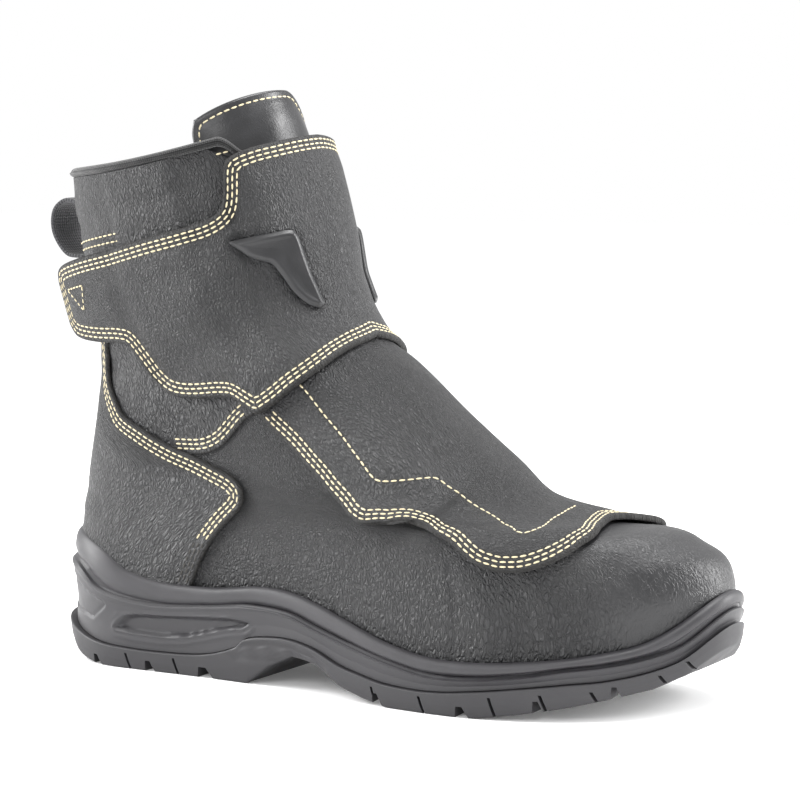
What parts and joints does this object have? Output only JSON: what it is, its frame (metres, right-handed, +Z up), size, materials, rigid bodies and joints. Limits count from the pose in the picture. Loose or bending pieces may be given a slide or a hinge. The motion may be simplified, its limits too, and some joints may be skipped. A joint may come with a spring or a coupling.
{
  "type": "safety boot",
  "caption": "High leather foundry boot for the right foot: hollow upper, wrap-over ankle cuff, metatarsal guard flap, standing tongue, pull loop and lugged two-part sole.",
  "frame": {"origin": "on the floor under the middle of the heel", "axes": "+X to the toe, +Y to the medial side of the right boot, +Z up; the lateral side is -Y"},
  "size_m": [0.3191, 0.1114, 0.2441],
  "materials": {
    "outsole": "matt moulded rubber",
    "midsole": "matt moulded polyurethane",
    "insole": "dark textile",
    "upper": "black grain leather, satin",
    "heel_counter": "black grain leather, satin",
    "metatarsal_guard": "black grain leather, satin",
    "ankle_cuff": "black grain leather, satin",
    "tongue": "black smooth leather",
    "collar_binding": "black woven binding",
    "pull_loop": "black webbing",
    "shin_pad_lateral": "smooth pressed leather",
    "shin_pad_medial": "smooth pressed leather"
  },
  "bodies": {
    "root": {"outsole": "outsole", "midsole": "midsole", "insole": "insole", "upper": "upper", "heel_counter": "heel_counter", "metatarsal_guard": "metatarsal_guard", "ankle_cuff": "ankle_cuff", "tongue": "tongue", "collar_binding": "collar_binding", "pull_loop": "pull_loop", "shin_pad_lateral": "shin_pad_lateral", "shin_pad_medial": "shin_pad_medial"}
  },
  "joints": []
}
